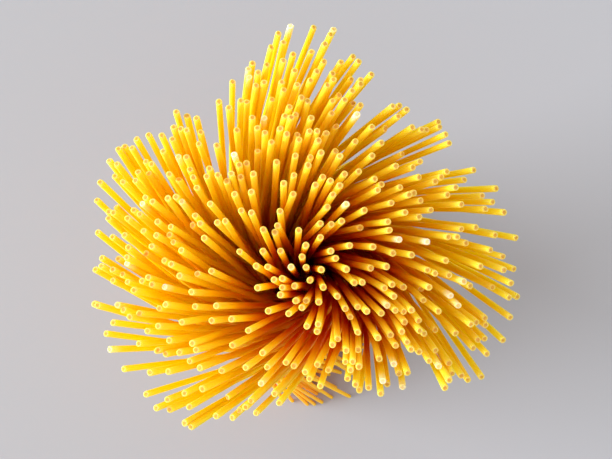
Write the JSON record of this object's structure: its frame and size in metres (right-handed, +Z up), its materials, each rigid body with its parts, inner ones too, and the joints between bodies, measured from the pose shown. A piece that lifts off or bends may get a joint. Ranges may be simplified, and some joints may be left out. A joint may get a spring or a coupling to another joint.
{
  "type": "bundle of dry spaghetti",
  "caption": "A loose handful of dry spaghetti standing on end, twisted once so that it narrows at the waist and fans out at the foot and the top.",
  "frame": {"origin": "on the upright axis of the bundle, at the level of the surface its foot stands on", "axes": "+Z up along the bundle, its longest side; +X to the right and +Y away from the viewer when the fan of ends is looked down on with its short side nearest"},
  "size_m": [0.1237, 0.1405, 0.255],
  "materials": {
    "dry_pasta": "satin, faintly rough amber yellow, slightly see-through like horn, with pale floury cut ends"
  },
  "bodies": {
    "root": {"spaghetti_bundle": "dry_pasta"}
  },
  "joints": []
}
